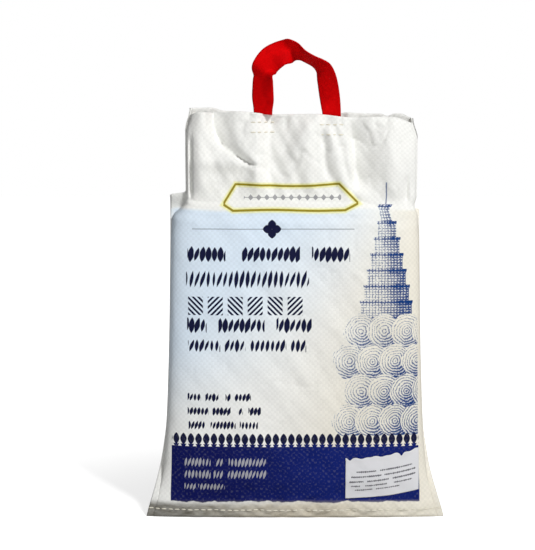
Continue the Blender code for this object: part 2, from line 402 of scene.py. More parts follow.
def section_half_width(z):
    """Half the width of the rounded section, without the flat plies beside it."""
    filled = body_half_width(z) + FOOT_SPREAD * np.exp(-z / HEM_FLARE_HEIGHT)
    filled = filled - TOP_ROUNDING * ramp(z, 0.308, 0.343)
    collar = COLLAR_HALF_WIDTH - 0.0050 * ramp(z, 0.425, 0.447)
    return filled + (collar - filled) * ramp(z, 0.333, 0.349)


def collar_shift(z):
    return COLLAR_SHIFT * ramp(z, 0.331, 0.355)


def fin_length(z, side, ear_top):
    """How far the two plies run on beside the section: the hem's flare, the crease and the ear."""
    section = section_half_width(z)
    hem = (0.5 * settings("sack_settings").flat_width - section) * np.exp(-z / HEM_FLARE_HEIGHT)
    foot = np.maximum(0.0, hem - CREASE) * (1 - ramp(z, 0.08, 0.14))
    corner = np.maximum(0.0, body_half_width(z) - section - side * collar_shift(z))
    return CREASE + foot + corner * ramp(z, 0.20, 0.30) * (1 - ramp(z, ear_top, ear_top + 0.003))


def valley(x, middle, left_width, right_width):
    """A fold's section: 1 along its sharp floor, with a nearly flat wall of its own width on each side."""
    rise = 1 - np.where(x < middle, (middle - x) / left_width, (x - middle) / right_width)
    return 0.5 * (rise + np.sqrt(rise * rise + 0.02)) / 1.005


def front_folds(x, z):
    """The pushes towards the back that shape the collar's front ply; a negative one is a ridge."""
    down = np.clip((0.449 - z) / 0.058, 0.0, 1.4)
    low = np.minimum(down, 1.0)
    upper = ramp(z, 0.350, 0.372)
    push = (0.0200 - 0.0105 * low) * valley(x, -0.0920 + 0.0420 * down ** 3, 0.0100 - 0.0050 * low,
                                            0.0260 - 0.0150 * low) * (1 - ramp(down, 0.97, 1.12))
    push -= 0.0045 * bump(z, 0.3930, 0.0075) * bump(x, -0.0800, 0.0300)
    push += 0.0065 * valley(x, -0.1165, 0.0025, 0.0035) * ramp(z, 0.348, 0.362) * (1 - ramp(z, 0.408, 0.425))
    push -= 0.0060 * bump(x, -0.1060, 0.0110) * upper
    push -= 0.0050 * bump(x, -0.0480 + 0.10 * (0.447 - z), 0.0120) * (1 - ramp(z, 0.425, 0.446)) * upper
    push += 0.0125 * valley(x, -0.0270 - 0.03 * (0.447 - z), 0.0130, 0.0280) * ramp(z, 0.362, 0.395) \
        * (1 - 0.6 * ramp(z, 0.436, 0.452))
    push -= 0.0045 * bump(x, 0.0150, 0.0100) * upper * (1 - ramp(z, 0.430, 0.446))
    push += 0.0045 * valley(x, 0.0275 + 0.10 * (0.447 - z), 0.0030, 0.0070) * ramp(z, 0.372, 0.388) \
        * (1 - ramp(z, 0.420, 0.436))
    curve = 0.0430 + 0.30 * np.maximum(0.0, 0.432 - z)
    push -= 0.0045 * bump(x, curve - 0.006, 0.0060) * ramp(z, 0.355, 0.375) * (1 - ramp(z, 0.425, 0.440))
    push += 0.0035 * valley(x, curve, 0.0025, 0.0040) * ramp(z, 0.355, 0.375) * (1 - ramp(z, 0.425, 0.440))
    push += 0.0155 * valley(x, 0.0660 + 0.10 * (0.40 - z), 0.0060, 0.0220) * ramp(z, 0.356, 0.376) \
        * (1 - 0.85 * ramp(z, 0.418, 0.446))
    push -= 0.0060 * bump(x, 0.1080, 0.0140) * ramp(z, 0.345, 0.370) * (1 - ramp(z, 0.436, 0.449))
    push += 0.0055 * valley(x, 0.1240, 0.0040, 0.0040) * ramp(z, 0.344, 0.352) * (1 - ramp(z, 0.366, 0.384))
    return push * ramp(z, 0.345, 0.358)


def back_folds(x, z):
    push = -0.0060 * bump(x, -0.070, 0.015) * ramp(z, 0.352, 0.372)
    push += 0.0040 * bump(x, -0.022, 0.014) * ramp(z, 0.350, 0.375) * (1 - ramp(z, 0.425, 0.447))
    push -= 0.0045 * bump(x, 0.030, 0.014) * ramp(z, 0.350, 0.375) * (1 - ramp(z, 0.425, 0.447))
    push += 0.0045 * valley(x, 0.060, 0.006, 0.009) * ramp(z, 0.355, 0.390)
    push -= 0.0050 * bump(x, 0.088, 0.013) * ramp(z, 0.350, 0.375)
    return push * ramp(z, 0.345, 0.358)


def rim_rise(side, x):
    """How far the mouth's edge stands above or below its even slope."""
    if side < 0:
        corners = -0.0065 * (1 - ramp(x, -0.124, -0.106)) - 0.0050 * ramp(x, 0.108, 0.134)
        return corners + 0.0012 * np.sin(x * 75.0) - 0.0015 * bump(x, -0.080, 0.010)
    corners = 0.0035 * (1 - ramp(x, -0.095, -0.080)) - 0.0060 * ramp(x, 0.116, 0.134)
    lift = 0.0045 * ramp(x, 0.040, 0.060) - 0.0030 * bump(x, 0.104, 0.005) + 0.0010 * np.sin(x * 60.0)
    return corners + lift


def shoulder_drop(x):
    """How far below its usual height the front's top edge folds over, across the sack."""
    return 0.0130 * bump(x, 0.1130, 0.026) - 0.0050 * bump(x, -0.1280, 0.016) + 0.0012 * np.sin(x * 43.0)


def ply(side, z, share, fold_share=1.0):
    """Points of the front (side -1) or back (side 1) ply, from heights and shares of the way across."""
    half = section_half_width(z)
    centre = collar_shift(z)
    side_y = along(SIDE_PROFILE, z)
    power = along(SQUARENESS, z)
    inner = np.clip((share - FIN_SHARE) / (1 - 2 * FIN_SHARE), 0.0, 1.0)
    place = np.sin(0.5 * math.pi * (2 * inner - 1))
    fullness = np.maximum(1 - np.abs(place) ** power, 0.0) ** (1 / power)
    x = centre + half * place
    if side < 0:
        wall_y = along(FRONT_PROFILE, z + shoulder_drop(x) * bump(z, 0.345, 0.030))
    else:
        wall_y = along(BACK_PROFILE, z)
    y = side_y + (wall_y - side_y) * fullness
    folds = front_folds if side < 0 else back_folds
    y = y - side * fold_share * folds(x, z) * fullness
    left = np.clip(1 - share / FIN_SHARE, 0.0, 1.0)
    right = np.clip(1 - (1 - share) / FIN_SHARE, 0.0, 1.0)
    x = x - left * fin_length(z, -1, EAR_TOPS[0]) + right * fin_length(z, 1, EAR_TOPS[1])
    y = y + side * 0.0005 * (1 - np.maximum(left, right))
    height = z + COLLAR_TILT * x * ramp(z, 0.363, 0.447) + rim_rise(side, x) * ramp(z, 0.405, 0.447)
    return np.stack([x, y + SHIFT_Y, np.broadcast_to(height, x.shape)], axis=-1)


def heights():
    """The rows' heights, closest together at the hem and at the shoulder, where the shape turns most."""
    top = settings("sack_settings").collar_top
    places = np.linspace(0.0, top, HEIGHT_SAMPLES)
    density = 1 + 2.5 * bump(places, 0.008, 0.012) + 1.6 * bump(places, 0.344, 0.014)
    walked = np.concatenate([[0.0], np.cumsum(0.5 * (density[1:] + density[:-1]))])
    return np.interp(np.linspace(0, walked[-1], ROWS + 1), walked, places)


def crumple(grid, z, side):
    """Fine unevenness of one ply, outwards: lumps of rice on the body, creases on the collar and the hem."""
    made = settings("sack_settings")
    across = grid[..., 0] / made.flat_width + 0.5
    up = z / made.collar_top
    seed = 11 if side < 0 else 12
    lumps = noise_field(across, up, seed, ((3, 4, 0.0008), (7, 9, 0.0005), (16, 20, 0.00022)))
    ridges = np.abs(noise_field(across, up, seed + 10, ((5, 3, 1.0), (9, 7, 0.6))))
    creases = noise_field(across, up, seed + 20, ((8, 5, 0.0013), (17, 12, 0.0006), (30, 26, 0.00022)))
    strip = noise_field(across, up, seed + 30, ((6, 14, 0.0022), (15, 34, 0.0010), (40, 60, 0.0003)))
    edges = np.abs(noise_field(across, up, seed + 40, ((4, 7, 1.0), (8, 12, 0.5))))
    on_collar = ramp(z, 0.345, 0.362)
    on_hem = 1 - ramp(z, 0.014, 0.026)
    amount = (lumps - 0.0009 * np.exp(-((edges / 0.06) ** 2))) * (1 - on_collar) * (1 - on_hem)
    amount = amount + (creases - 0.0024 * np.exp(-((ridges / 0.08) ** 2))) * on_collar
    return amount + strip * on_hem * ramp(z, 0.0, 0.004)


def arc_map(points, z):
    """The flat coordinates of a ply's points: the distance across from the middle, and the height."""
    steps = np.linalg.norm(np.diff(points[..., :2], axis=1), axis=2)
    walked = np.concatenate([np.zeros((len(points), 1)), np.cumsum(steps, axis=1)], axis=1)
    middle = COLUMNS // 2
    across = walked - walked[:, middle:middle + 1] + points[:, middle:middle + 1, 0]
    return np.stack([across, np.broadcast_to(z, across.shape)], axis=-1)


def mouth_walls(front, back, depth):
    """The inner walls of the mouth, from the rim down to where the two plies draw together."""
    rows = np.linspace(0, 1, MOUTH_ROWS + 1)
    levels = front[:, COLUMNS // 2, 2]
    places = np.interp(levels[-1] - depth * rows, levels, np.arange(len(levels)))
    low = np.floor(places).astype(int).clip(0, len(levels) - 2)
    part = (places - low)[:, None, None]
    inner = np.minimum(WALL, 0.4 * (back[..., 1] - front[..., 1]))
    walls = []
    for outer, side in ((front, -1), (back, 1)):
        shell = outer.copy()
        shell[..., 1] -= side * inner
        centre = 0.5 * (shell[:, :1, 0] + shell[:, -1:, 0])
        shell[..., 0] = centre + (shell[..., 0] - centre) * (1 - 2 * WALL / COLLAR_HALF_WIDTH)
        walls.append(shell[low] * (1 - part) + shell[low + 1] * part)
    middle = 0.5 * (walls[0] + walls[1])
    closing = ramp(rows, 0.5, 1.0)[:, None, None]
    return [wall + (middle - wall) * closing for wall in walls]


def sack_points():
    """The cloth as one sheet that runs from the base up the front, into the mouth and down the back."""
    z = heights()[:, None]
    share = np.linspace(0, 1, COLUMNS + 1)[None, :]
    front = ply(-1, z, share)
    back = ply(1, z, share)
    across = np.clip((share - FIN_SHARE) / (1 - 2 * FIN_SHARE), 0, 1)
    inside = np.maximum(np.sin(math.pi * across), 0.0) ** 1.2
    front[..., 1] -= crumple(front, z, -1) * inside
    back[..., 1] += crumple(back, z, 1) * inside
    middle_y = 0.5 * (front[..., 1] + back[..., 1])
    clear = 3 * WALL * np.maximum(np.sin(math.pi * share), 0.0) ** 0.25
    front[..., 1] = np.minimum(front[..., 1], middle_y - clear)
    back[..., 1] = np.maximum(back[..., 1], middle_y + clear)
    walls = mouth_walls(front, back, settings("sack_settings").mouth_depth)
    middle = 0.5 * (front[0] + back[0])
    part = np.linspace(0, 1, BASE_ROWS + 1)[:, None, None]
    base_front = middle + (front[0] - middle) * part
    base_back = middle + (back[0] - middle) * part
    front_map = arc_map(ply(-1, z, share, 0.0), z)
    back_map = arc_map(ply(1, z, share, 0.0), z) * (-1, 1)
    inner_maps = [np.stack([wall[..., 0], wall[..., 2] + INSIDE_MAP], axis=-1) for wall in walls]
    bases = (base_front, base_back)
    base_maps = [np.stack([base[..., 0], base[..., 1] + BASE_MAP], axis=-1) for base in bases]
    points = (base_front[:-1], front, walls[0], walls[1][-2::-1], back[::-1], base_back[-2::-1])
    flat = (base_maps[0][:-1], front_map, inner_maps[0], inner_maps[1][-2::-1], back_map[::-1],
            base_maps[1][-2::-1])
    return np.concatenate(points), np.concatenate(flat)


def shape_sheet(name, points, flat):
    """A grid shaped to rows of points, with its flat map."""
    rows, columns = points.shape[:2]
    sheet = flat_sheet(name, columns - 1, rows - 1)
    corners = points_of(sheet.data)
    order = np.lexsort((corners[:, 0].round(6), corners[:, 1].round(6)))
    placed = np.empty_like(corners)
    placed[order] = points.reshape(-1, 3)
    mapped = np.empty((len(corners), 2))
    mapped[order] = flat.reshape(-1, 2)
    place_points(sheet.data, placed)
    set_uv(sheet.data, mapped)
    return sheet


def close_seams(sheet):
    """Merges the edges that meet, and turns every face outwards."""
    deselect()
    sheet.select_set(True)
    bpy.context.view_layer.objects.active = sheet
    bpy.ops.object.mode_set(mode="EDIT")
    bpy.ops.mesh.select_all(action="SELECT")
    bpy.ops.mesh.remove_doubles(threshold=0.00001)
    bpy.ops.mesh.normals_make_consistent(inside=False)
    bpy.ops.object.mode_set(mode="OBJECT")


# ---------------------------------------------------------------------------------------------------------
# The sack's print and weave. Places are metres across from the middle, and up from the foot.
# ---------------------------------------------------------------------------------------------------------

HALO_YELLOW = srgb(238, 236, 150)
BAND_BLUE = srgb(6, 28, 108)
LEAF_INK = srgb(14, 18, 56)
# Painted shade on the hem strip under the body's bulge: grey at one end, beige in the middle, pale at the
# other end.
HEM_SHADE_GREY = srgb(100, 96, 85)
HEM_SHADE_BROWN = srgb(192, 183, 164)
HEM_SHADE_PALE = srgb(228, 223, 208)
FIELD = {"left": -0.0800, "right": 0.0700, "tip": 0.3483, "top": 0.3690, "foot": 0.3416}
RULE = (-0.1140, 0.0650, 0.3214)
BAND = (-0.1390, 0.1390, 0.0175, 0.0825)
LEAF_PITCH = 0.0086
LEAF_MIDDLE = 0.0880
LEAF_HALF_HEIGHT = 0.0064
# Rows of grain marks: groups as (left, right), then foot, top, spacing of the grains and their weight.
DARK_ROWS = (
    (((-0.1195, -0.0770), (-0.0590, 0.0050), (0.0180, 0.0600)),
     0.2845, 0.3030, 0.0066, 0.50),
    (((-0.1210, 0.0150),),
     0.2560, 0.2765, 0.0062, 0.30),
    (((-0.1200, -0.0980), (-0.0850, -0.0340), (-0.0210, 0.0180)),
     0.2061, 0.2240, 0.0062, 0.46),
    (((-0.1190, -0.0830), (-0.0780, -0.0550), (-0.0500, -0.0100), (-0.0050, 0.0120)),
     0.1850, 0.2000, 0.0056, 0.36),
    (((-0.1198, -0.1048), (-0.0997, -0.0851), (-0.0773, -0.0717), (-0.0672, -0.0493)),
     0.1299, 0.1400, 0.0042, 0.46),
    (((-0.1198, -0.0963), (-0.0918, -0.0717), (-0.0627, -0.0582), (-0.0520, -0.0381)),
     0.1142, 0.1243, 0.0042, 0.46),
    (((-0.1187, -0.0997), (-0.0941, -0.0661), (-0.0616, -0.0414)),
     0.0985, 0.1085, 0.0040, 0.40),
)
PALE_ROWS = (
    (((-0.1243, -0.0941), (-0.0885, -0.0795), (-0.0739, -0.0325)),
     0.0565, 0.0675, 0.0040, 0.34),
    (((-0.1243, -0.0941), (-0.0907, -0.0806), (-0.0750, -0.0320)),
     0.0430, 0.0538, 0.0040, 0.34),
    (((-0.1235, -0.1110), (-0.1080, -0.0784)),
     0.0300, 0.0385, 0.0038, 0.32),
)
HATCHED_ROW = (-0.1205, 0.0115, 0.2265, 0.2470)  # left, right, foot and top of the hatched squares
HATCHED_SQUARES = 6
HATCH_PITCH = 0.0060
BEADS = (-0.0570, 0.0510, 0.3552)  # left and right ends of the bead row, and its height
BEAD_PITCH = 0.0090
TOWER_MIDDLE = 0.1010
TOWER_FOOT = 0.1900
TOWER_HALF_WIDTH = 0.0360
TIERS = 9
TIER_RISE = 0.0175
TIER_STEP = 0.0037  # how much narrower each tier is, on each side
ROD_TOP = 0.3720
TREE_ROWS = 4
TREE_COLUMNS = 4
TREE_RADIUS = 0.0190
TREE_SPACING = (0.0255, 0.0335)  # from one round tree to the next, across and up
FIRST_TREE = (0.0600, 0.1080)
PICTURE_FOOT = 0.0920
PICTURE_RIGHT = 0.1385


def grain_row(f, x, y, spans, foot, top, pitch, weight, seed):
    """Slanting rice grains side by side, in groups. No two are quite alike."""
    place = x / pitch
    cell = f.math("FLOOR", place)
    pick = f.chance(cell + seed)
    lean = (y - 0.5 * (foot + top)) * (f.chance(cell + seed + 0.7) * 0.34 + 0.04) / pitch
    across = (place - cell - 0.5 - lean) / (pick * 0.5 * weight + 0.75 * weight)
    tall = (y - 0.5 * (foot + top)) / (0.5 * (top - foot))
    tall = tall / (0.78 + pick * 0.22)
    grain = f.ramp(1.0 - (f.math("ABSOLUTE", across) + tall * tall), -0.15, 0.15)
    groups = f.highest(*[f.between(x, left, right) for left, right in spans])
    return grain * groups


def hatched_squares(f, x, y):
    """A row of small squares of slanting bars, which lean one way and the other in turn."""
    left, right, foot, top = HATCHED_ROW
    place = (x - left) / ((right - left) / HATCHED_SQUARES)
    cell = f.math("FLOOR", place)
    lean = 1.0 - f.math("FLOORED_MODULO", cell, 2.0) * 2.0
    bars = f.ramp(f.math("SINE", (x * lean + y) * (2 * math.pi / HATCH_PITCH)), -0.25, 0.15)
    return bars * f.between(place - cell, 0.08, 0.84, 0.02) * f.box(x, y, left, right, foot, top)


def bead_row(f, x, y):
    """Small lozenges on a thin line."""
    left, right, height = BEADS
    place = x / BEAD_PITCH
    aside = f.math("ABSOLUTE", place - f.math("FLOOR", place) - 0.5)
    off = f.math("ABSOLUTE", y - height)
    bead = f.ramp(1.0 - (aside * (1 / 0.34) + off * (1 / 0.0034)), -0.12, 0.12)
    line = 1.0 - f.ramp(off, 0.0002, 0.0006)
    return f.highest(bead, line) * f.between(x, left, right)


def name_field(f, x, y):
    """The outlined field under the collar: its line, the soft halo beside it, and a row of beads in it."""
    wave = y + f.math("SINE", x * 58.0) * 0.0006

    def slope(distance, run, height, way):
        rise = height / run
        return ((wave - FIELD["tip"]) * way + distance * rise) * (1 / math.hypot(1, rise))

    high = FIELD["top"] - FIELD["tip"]
    low = FIELD["tip"] - FIELD["foot"]
    sag = f.math("COSINE", (x + 0.014) * 44.0) * 0.0016
    above = f.highest(wave - FIELD["top"] + sag, slope(FIELD["left"] - x, 0.0130, high, 1.0),
                      slope(x - FIELD["right"], 0.0200, high, 1.0))
    below = f.highest(FIELD["foot"] - wave, slope(FIELD["left"] - x, 0.0110, low, -1.0),
                      slope(x - FIELD["right"], 0.0150, low, -1.0))
    edge = f.math("ABSOLUTE", f.highest(above, below))
    line = 1.0 - f.ramp(edge, 0.0008, 0.0015)
    halo = 1.0 - f.ramp(edge, 0.0012, 0.0044)
    return line, halo, bead_row(f, x, y)


def flower(f, x, y):
    """Four petals on the rule."""
    dx = f.math("ABSOLUTE", x + 0.0258)
    dy = f.math("ABSOLUTE", y - RULE[2])

    def petal(long_way, cross_way):
        a = (long_way - 0.0052) / 0.0052
        b = cross_way / 0.0046
        return f.ramp(1.0 - (a * a + f.math("ABSOLUTE", b)), -0.1, 0.1)

    return f.highest(petal(dy, dx), petal(dx, dy))


def leaf_row(f, x, y):
    """The leaves along the band's top, and the small bare triangles between them."""
    place = x / LEAF_PITCH
    local = place - f.math("FLOOR", place) - 0.5
    across = f.math("POWER", f.math("ABSOLUTE", local) * (1 / 0.44), 1.5)
    tall = f.math("POWER", f.math("ABSOLUTE", y - LEAF_MIDDLE) * (1 / LEAF_HALF_HEIGHT), 1.5)
    leaf = f.ramp(1.0 - (across + tall), -0.08, 0.08)
    between = 0.5 - f.math("ABSOLUTE", local)
    gap = f.ramp((0.0838 - y) * 62.0 - between, -0.03, 0.03) * f.ramp(y, 0.0794, 0.0800)
    return leaf, gap


def strokes(f, value, pitch):
    """Parallel strokes: 0 along each one, 1 half-way between two."""
    return f.math("ABSOLUTE", f.math("SINE", value * (math.pi / pitch)))


def engrave(f, tone, pattern, grit):
    """Ink for a tone from 0 to 1: the darker it is, the further each stroke spreads over a thin wash."""
    return f.ramp(tone + (grit - 0.5) * 1.5 - pattern, -0.24, 0.34) * 0.78 + f.ramp(tone, 0.15, 1.10) * 0.22


def tower(f, x, y, sway, grit):
    """A plain tower of straight, even tiers with a rod on its top, as the share of ink."""
    lattice = f.lowest(strokes(f, x, 0.0034) * 1.15, strokes(f, y, 0.0029))
    place = (y - TOWER_FOOT) / TIER_RISE
    tier = f.math("FLOOR", place)
    ledge = f.ramp(place - tier, 0.72, 0.90)
    aside = f.math("ABSOLUTE", x - TOWER_MIDDLE)
    half = TOWER_HALF_WIDTH - tier * TIER_STEP + ledge * 0.0012
    top = TOWER_FOOT + TIERS * TIER_RISE
    within = f.ramp(half - aside, -0.0004, 0.0004) * f.between(y, TOWER_FOOT, top, 0.0004)
    tone = f.ramp(x - TOWER_MIDDLE, -0.012, 0.024) * 0.55 + ledge * 0.35 + (sway - 0.5) * 0.5 + 0.38
    rod = f.ramp(0.0007 - aside, -0.0002, 0.0002) * f.between(y, top, ROD_TOP, 0.0004)
    return f.highest(engrave(f, tone, lattice, grit) * within, rod * 0.8)


def round_tree(f, x, y, middle, height, drift, depth, grit):
    """One round tree: the share of the place that it covers, and the ink of its ringed strokes."""
    across = x - middle
    up = y - height
    out = f.math("SQRT", across * across + up * up)
    cover = f.ramp(TREE_RADIUS + drift * 0.0060 - out, -0.0004, 0.0004)
    shade = f.ramp(across - up, -TREE_RADIUS, 1.3 * TREE_RADIUS)
    tone = shade * 0.58 + depth + 0.26
    return cover, engrave(f, tone, strokes(f, out + drift * 0.0050, 0.0029), grit)


def picture(f, x, y):
    """A plain tower behind rows of round trees, in engraved strokes, as the share of ink at each place."""
    grit = f.noise(x, y, 620.0, 2.0)
    sway = f.noise(x, y, 80.0, 3.0)
    drift = sway - 0.5
    depth = f.ramp(x, 0.070, 0.130) * f.ramp(0.2000 - y, 0.0, 0.0600) * 0.25
    ink = tower(f, x + drift * 0.0012, y, sway, grit)
    for row in reversed(range(TREE_ROWS)):
        for column in range(TREE_COLUMNS):
            middle = FIRST_TREE[0] + (column + 0.5 * (row % 2)) * TREE_SPACING[0]
            height = FIRST_TREE[1] + row * TREE_SPACING[1]
            cover, drawn = round_tree(f, x, y, middle, height, drift, depth, grit)
            ink = ink * (1.0 - cover) + drawn * cover
    return ink * f.ramp(y - PICTURE_FOOT, -0.0008, 0.0008) * f.ramp(PICTURE_RIGHT - x, -0.0008, 0.0008)


def weave(f, x, y, tape):
    """A plain weave of flat tapes: where the upright tape is on top, and the height of the tapes."""
    a = f.math("SINE", x * (math.pi / tape))
    b = f.math("SINE", y * (math.pi / tape))
    over = f.ramp(a * b, -0.12, 0.12)
    crown = f.math("ABSOLUTE", a) * over + f.math("ABSOLUTE", b) * (1.0 - over)
    return over, f.math("POWER", crown, 0.5)


def cloth_finish():
    made = settings("sack_settings")
    f = Finish("woven cloth", 0.58, 0.12)
    x, y = f.flat_map()
    over, crown = weave(f, x, y, made.tape)
    body = 1.0 - f.ramp(y + f.math("SINE", x * 60.0) * 0.001, 0.3395, 0.3440)
    printed = f.ramp(y, 0.0, 0.001) * (1.0 - f.ramp(y, 0.60, 0.61))
    # Partly print and partly painted light: the cool tint lays painted shade over the upper left, the warm
    # tint painted warm light over the right.
    cool_print_and_shade = (1.0 - f.ramp(x - (y - 0.20) * 0.9, -0.150, 0.050)) * f.ramp(y, 0.05, 0.20) * body * printed
    cool_print_and_shade = cool_print_and_shade * f.ramp(x, -0.174, -0.154)
    warm_print_and_light = f.ramp(x - (y - 0.20) * 0.4, -0.010, 0.110) * body * printed
    warm_print_and_light = warm_print_and_light * (1.0 - f.ramp(x, 0.154, 0.174))
    base = f.mix(cool_print_and_shade, made.cloth, made.cool_print_and_shade)
    base = f.mix(warm_print_and_light, base, made.warm_print_and_light)
    line, halo, beads = name_field(f, x, y)
    base = f.mix(halo * 0.85 * printed, base, HALO_YELLOW)
    drawn = picture(f, x, y) * printed
    base = f.mix(drawn, base, f.mix(f.ramp(drawn, 0.25, 0.85), made.wash, made.blue))
    marks = f.box(x, y, RULE[0], RULE[1], RULE[2] - 0.0004, RULE[2] + 0.0004) * 0.7
    marks = f.highest(marks, beads * 0.6, flower(f, x, y), hatched_squares(f, x, y))
    for number, row in enumerate(DARK_ROWS):
        marks = f.highest(marks, grain_row(f, x, y, *row, 10.0 * number + 0.5))
    leaf, gap = leaf_row(f, x, y)
    left, right, foot, top = BAND
    wide = f.between(x, left, right)
    ragged = y + (f.noise(x, y, 90.0, 2.0) - 0.5) * 0.0030
    solid = f.ramp(ragged, foot - 0.0004, foot + 0.0004) * f.ramp(top - y, 0.0, 0.0003) * (1.0 - gap)
    band = f.highest(solid, leaf) * wide
    pale = grain_row(f, x, y, *PALE_ROWS[0], 80.5)
    for number, row in enumerate(PALE_ROWS[1:]):
        pale = f.highest(pale, grain_row(f, x, y, *row, 90.5 + 10.0 * number))
    worn = f.noise(x, y, 330.0, 2.0)
    specks = (1.0 - over) * f.ramp(worn, 0.42, 0.75) * 0.05 * band
    ink = f.highest(band * (1.0 - pale * 0.42), marks) * (1.0 - specks) * printed
    navy = f.mix(f.ramp(x, -0.10, 0.05) * f.ramp(y, 0.0, 0.03), made.navy, BAND_BLUE)
    base = f.mix(ink, base, f.mix(f.ramp(y, 0.080, 0.086), navy, LEAF_INK))
    base = f.mix(f.box(x, y, FIELD["left"], FIELD["right"], 0.33, 0.38) * line * printed, base, made.gold)
    # Painted shade along the strip at the foot, on both plies: grey at the front's left end, paler to the
    # right, in uneven patches.
    foot_shade = (1.0 - f.ramp(y, 0.012, 0.020)) * f.ramp(y, -0.5, -0.4)
    hem_shade = f.mix(f.ramp(x, -0.15, 0.02), HEM_SHADE_GREY, HEM_SHADE_BROWN)
    hem_shade = f.mix(f.ramp(x, 0.02, 0.14), hem_shade, HEM_SHADE_PALE)
    base = f.mix(foot_shade * (0.62 + f.noise(x * 0.3, y, 260.0, 3.0) * 0.45), base, hem_shade)
    # Painted shade: the tapes that lie underneath are darkened a little, multiplied over the colour.
    shade = f.mix(1.0 - over, (1.0, 1.0, 1.0), (0.95, 0.95, 0.95))
    woven = f.node("ShaderNodeMix", data_type="RGBA", blend_type="MULTIPLY")
    woven.inputs["Factor"].default_value = 1.0
    f.feed(woven.inputs["A"], base)
    f.feed(woven.inputs["B"], shade)
    f.feed(f.shader.inputs["Base Color"], woven.outputs["Result"])
    f.feed(f.shader.inputs["Roughness"], 0.48 + f.noise(x, y, 60.0, 3.0) * 0.16 + ink * 0.06)
    wrinkle = f.noise(x, y, 45.0, 4.0, 0.6)
    f.raise_surface(crown * 0.20 + wrinkle * 1.6, 0.0009, 0.55)
    return f.material


class OBJECT_OT_rice_sack_cloth(bpy.types.Operator):
    """Model the filled sack, its collar and its printed weave"""

    bl_idname = "object.rice_sack_cloth"
    bl_label = "Sack"

    def execute(self, context):
        sack = shape_sheet("sack_cloth", *sack_points())
        close_seams(sack)
        finish_piece(sack, cloth_finish(), "woven_cloth", "sack")
        return {"FINISHED"}


def cloth_surface():
    """The finished cloth, for finding the places that lie on it."""
    cloth = bpy.data.objects["sack_cloth"]
    mesh = cloth.data
    return BVHTree.FromPolygons([v.co for v in mesh.vertices], [p.vertices for p in mesh.polygons])


def on_cloth(surface, x, z, side=-1, proud=0.0):
    """The point of the cloth straight in front of (side -1) or behind (side 1) x, z, and its normal."""
    hit, normal, *_ = surface.ray_cast(Vector((x, side * 1.0, z)), Vector((0.0, -side, 0.0)))
    if hit is None:
        raise ValueError(f"no cloth at {x:.3f}, {z:.3f}")
    if normal.y * side < 0:
        normal = -normal
    return hit + normal * proud, normal


# ---------------------------------------------------------------------------------------------------------
# The strap
# ---------------------------------------------------------------------------------------------------------

STRAP_HIDDEN_TOP = 0.4560  # a row of the strap wholly below this is behind the front ply
FRONT_PLY_BACK = 0.012  # the front ply lies in front of this at the mouth
STRAP_ROWS = 260
STRAP_COLUMNS = 14
# Its stations, as (x, z) of the middle, lean of the width from upright in degrees, tilt towards the back of
# the outer edge in degrees, and share of the full width.
STRAP_STATIONS = (
    ((-0.0358, 0.4220), -90, 0, 0.76), ((-0.0358, 0.4400), -88, 4, 0.74), ((-0.0358, 0.4514), -84, 24, 0.82),
    ((-0.0359, 0.4640), -80, 34, 1.04), ((-0.0359, 0.4750), -80, 38, 1.06), ((-0.0359, 0.4840), -84, 42, 1.06),
    ((-0.0357, 0.4905), -86, 44, 1.06), ((-0.0342, 0.4975), -67, 6, 1.04), ((-0.0302, 0.5038), -52, 4, 1.05),
    ((-0.0240, 0.5096), -41, 14, 1.08), ((-0.0168, 0.5136), -28, 18, 1.04), ((-0.0100, 0.5156), -19, 4, 1.00),
    ((-0.0034, 0.5172), -12, -34, 1.02), ((0.0039, 0.5155), -8, -52, 1.04), ((0.0112, 0.5102), -6, -64, 1.04),
    ((0.0202, 0.5050), 6, -66, 0.98), ((0.0268, 0.5004), 26, -58, 0.96), ((0.0312, 0.4955), 48, -46, 0.96),
    ((0.0340, 0.4880), 64, -38, 0.95), ((0.0360, 0.4790), 74, -34, 0.94), ((0.0378, 0.4670), 84, -26, 0.88),
    ((0.0392, 0.4560), 88, -14, 0.80), ((0.0403, 0.4440), 90, 0, 0.74), ((0.0403, 0.4220), 90, 0, 0.76),
)


def strap_spline(share):
    """Station values at a share of the strap's length, on a smooth curve through the stations."""
    table = np.array([(x, z, lean, tilt, width) for (x, z), lean, tilt, width in STRAP_STATIONS])
    place = share * (len(table) - 1)
    k = np.clip(place.astype(int), 0, len(table) - 2)
    t = (place - k)[:, None]
    a, b, c, d = (table[np.clip(k + step, 0, len(table) - 1)] for step in (-1, 0, 1, 2))
    square = 2 * a - 5 * b + 4 * c - d
    cube = 3 * b - a - 3 * c + d
    return 0.5 * (2 * b + (c - a) * t + square * t ** 2 + cube * t ** 3)


def keep_inside(points, gap):
    """Moves what lies below the mouth's edge back, row by row, until it clears the front ply's inner face."""
    surface = cloth_surface()
    for row in points:
        if row[:, 2].max() > STRAP_HIDDEN_TOP:
            continue
        needed = 0.0
        for x, y, z in row:
            hit, *_ = surface.ray_cast(Vector((x, -1.0, z)), Vector((0.0, 1.0, 0.0)))
            if hit is not None and hit.y < FRONT_PLY_BACK:
                needed = max(needed, hit.y + gap - y)
        row[:, 1] += needed


